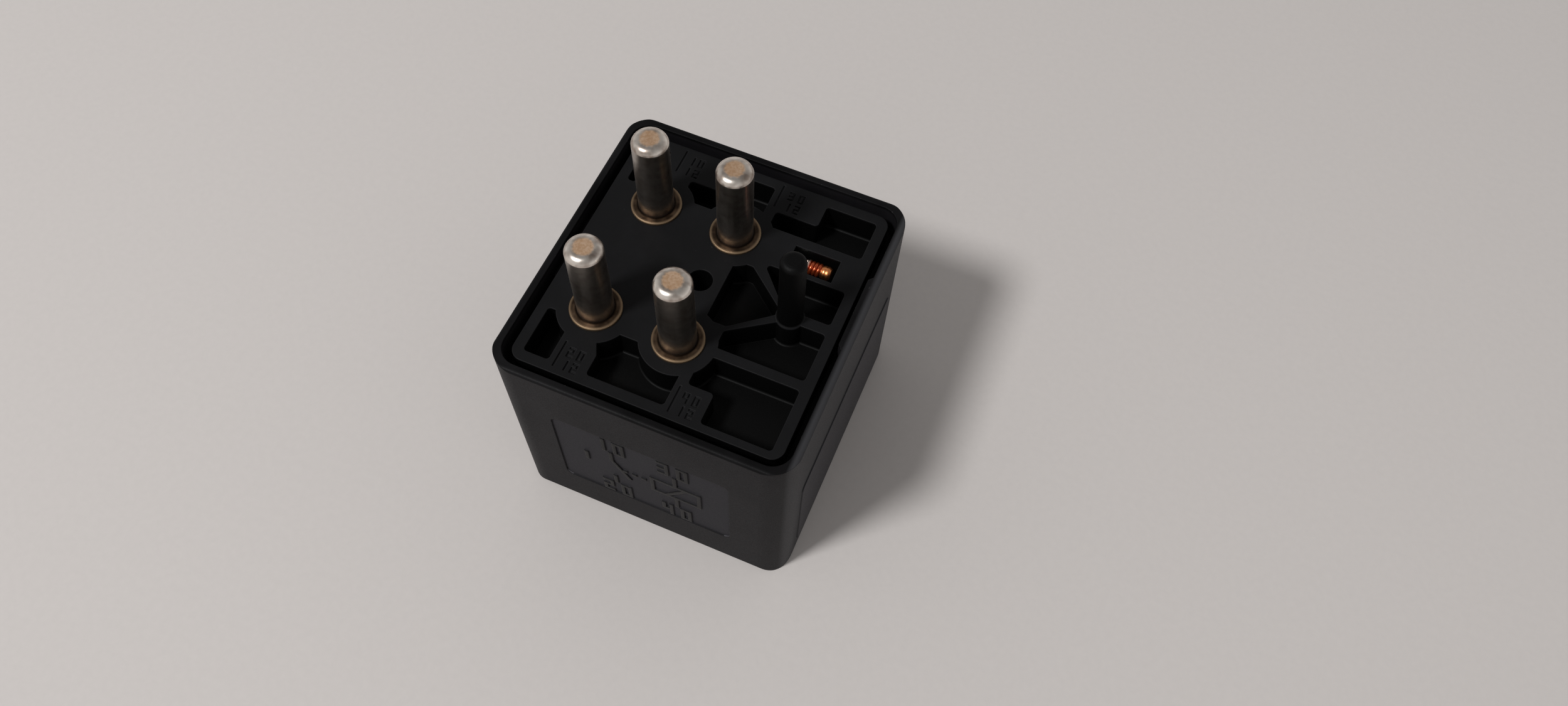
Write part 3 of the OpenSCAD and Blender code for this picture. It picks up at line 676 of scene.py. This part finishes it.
class RELAY_OT_springs(bpy.types.Operator):
    """Make the return spring and the flat braid that feeds the blade"""

    bl_idname = "relay.springs"
    bl_label = "Spring and braid"

    def execute(self, context):
        s, sizes = context.scene.relay_finishes, context.scene.relay_sizes
        # a hook under the armature's tab, the coil, and a hanger over the yoke's tab
        x, radius, turns = 12.6 * MM, 0.8 * MM, 11
        coil_low, coil_high = 5.9 * MM, 12.5 * MM
        turn = np.linspace(0, turns, turns * 26 + 1)
        coils = np.stack([x + radius * np.cos(2 * np.pi * turn), radius * np.sin(2 * np.pi * turn),
                          coil_low + (coil_high - coil_low) * turn / turns], axis=-1)
        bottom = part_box("return_spring")[0][2] + sizes.spring_wire / 2
        top, reach = 15.65 * MM, 0.6 * MM
        hook = np.array([[x + reach, 0, bottom], [x, 0, bottom], [x, 0, 4.25 * MM], [x, 0, 5.3 * MM]])
        hanger = np.array([[x, 0, 13.1 * MM], [x, 0, 14.4 * MM], [x, 0, top], [x - reach, 0, top]])
        path = np.vstack([curve_through(np.vstack([hook, coils[0]]), 8)[:-1], coils,
                          curve_through(np.vstack([coils[-1], hanger]), 8)[1:]])
        steel = sheet_metal("spring_steel_wire", linear("#c6c7c9"), linear("#97989b"), 0.22, (1, 1, 1), 0.2)
        make_piece("wound_spring", *wire(path, sizes.spring_wire / 2, sizes.sides), steel,
                   "spring_steel", "return_spring", bend=((x, 0, coil_high), (x, 0, coil_low)))

        # down beside the yoke, round a bend and along under the blade
        low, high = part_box("braid")
        thick, bend, top = 0.6 * MM, 0.8 * MM, high[2]
        right, floor, left = high[0] - thick / 2, low[2] + thick / 2, low[0]
        a = np.linspace(0, np.pi / 2, 24)
        corner = np.stack([right - bend + bend * np.cos(a), 0 * a, floor + bend - bend * np.sin(a)], axis=-1)
        down = np.linspace(top, floor + bend, 60)[:-1]
        flat = np.linspace(right - bend, left, 80)[1:]
        path = np.vstack([np.stack([0 * down + right, 0 * down, down], axis=-1), corner,
                          np.stack([flat, 0 * flat, 0 * flat + floor], axis=-1)])
        path[:, 1] = (low[1] + high[1]) / 2
        strand = 0.5 * MM
        make_piece("woven_braid", *woven_strap(path, (0, 1, 0), high[1] - low[1], thick, strand),
                   bare_copper(s), "bare_copper", "braid",
                   bend=((right - bend, path[0, 1], floor), (left + MM, path[0, 1], floor)))
        return {"FINISHED"}


class RELAY_OT_studio(bpy.types.Operator):
    """Set up the paper floor, the lights, the surroundings and the camera"""

    bl_idname = "relay.studio"
    bl_label = "Studio"

    def execute(self, context):
        scene, s = context.scene, context.scene.relay_stage
        half = 1.5
        corners = [(-half, -half, 0), (half, -half, 0), (half, half, 0), (-half, half, 0)]
        mesh = bpy.data.meshes.new("paper_floor")
        mesh.from_pydata(corners, [], [(0, 1, 2, 3)])
        floor = bpy.data.objects.new("paper_floor", mesh)
        mesh.materials.append(paper(s))
        scene.collection.objects.link(floor)

        light = bpy.data.lights.new("key_light", "AREA")
        light.shape, light.size, light.energy = "DISK", s.key_size, s.key
        key = bpy.data.objects.new("key_light", light)
        way, distance = Vector((-10.8, -14.5, 25.65)).normalized(), 0.9
        key.location = way * distance
        key.rotation_euler = way.to_track_quat("Z", "Y").to_euler()
        scene.collection.objects.link(key)

        world = bpy.data.worlds.new("soft_room")
        world.use_nodes = True
        room = world.node_tree.nodes["Background"]
        room.inputs["Color"].default_value = linear("#fdfbfa")
        # pale walls under a dim ceiling, so that level black faces stay black
        way_out = add(world, "ShaderNodeTexCoord").outputs["Generated"]
        rise = add(world, "ShaderNodeSeparateXYZ", {0: way_out}).outputs[2]
        world.node_tree.links.new(ranged(world, rise, 0.0, 1.0, s.walls, s.ceiling), room.inputs["Strength"])
        scene.world = world

        lens = bpy.data.cameras.new("camera")
        lens.lens, lens.sensor_width, lens.clip_start = 26.66, 36.0, 0.005
        camera = bpy.data.objects.new("camera", lens)
        place = Matrix.Translation((0.026646, -0.052164, 0.117681))
        right, down, ahead = (Vector(v).normalized() for v in (
            (0.9218, 0.3863, 0.0309), (0.352, -0.8012, -0.484), (-0.1622, 0.457, -0.8745)))
        turn = Matrix((right, -down, -ahead)).transposed().to_quaternion()
        camera.matrix_world = place @ turn.to_matrix().to_4x4()
        scene.collection.objects.link(camera)
        scene.camera = camera
        scene.view_settings.view_transform = "Standard"
        return {"FINISHED"}


class RELAY_PT_panel(bpy.types.Panel):
    """Lists the relay's steps and settings"""

    bl_label = "Relay"
    bl_idname = "RELAY_PT_panel"
    bl_space_type = "VIEW_3D"
    bl_region_type = "UI"
    bl_category = "Relay"

    def draw(self, context):
        for step in STEPS:
            self.layout.operator(step.bl_idname)
        for group in ("relay_finishes", "relay_sizes", "relay_stage"):
            settings = getattr(context.scene, group)
            column = self.layout.column(heading=group.replace("_", " ").capitalize())
            for key in settings.__annotations__:
                column.prop(settings, key)


GROUPS = {"relay_finishes": RelayFinishes, "relay_sizes": RelaySizes, "relay_stage": RelayStage}
STEPS = (RELAY_OT_mouldings, RELAY_OT_pins, RELAY_OT_metal_parts, RELAY_OT_coil, RELAY_OT_springs,
         RELAY_OT_studio)
CLASSES = (*GROUPS.values(), *STEPS, RELAY_PT_panel)


def register():
    for cls in CLASSES:
        bpy.utils.register_class(cls)
    for name, group in GROUPS.items():
        setattr(bpy.types.Scene, name, PointerProperty(type=group))


def unregister():
    for name in GROUPS:
        delattr(bpy.types.Scene, name)
    for cls in reversed(CLASSES):
        bpy.utils.unregister_class(cls)


def main():
    register()
    bpy.ops.relay.mouldings()
    bpy.ops.relay.pins()
    bpy.ops.relay.metal_parts()
    bpy.ops.relay.coil()
    bpy.ops.relay.springs()
    bpy.ops.relay.studio()


if __name__ == "__main__":
    main()
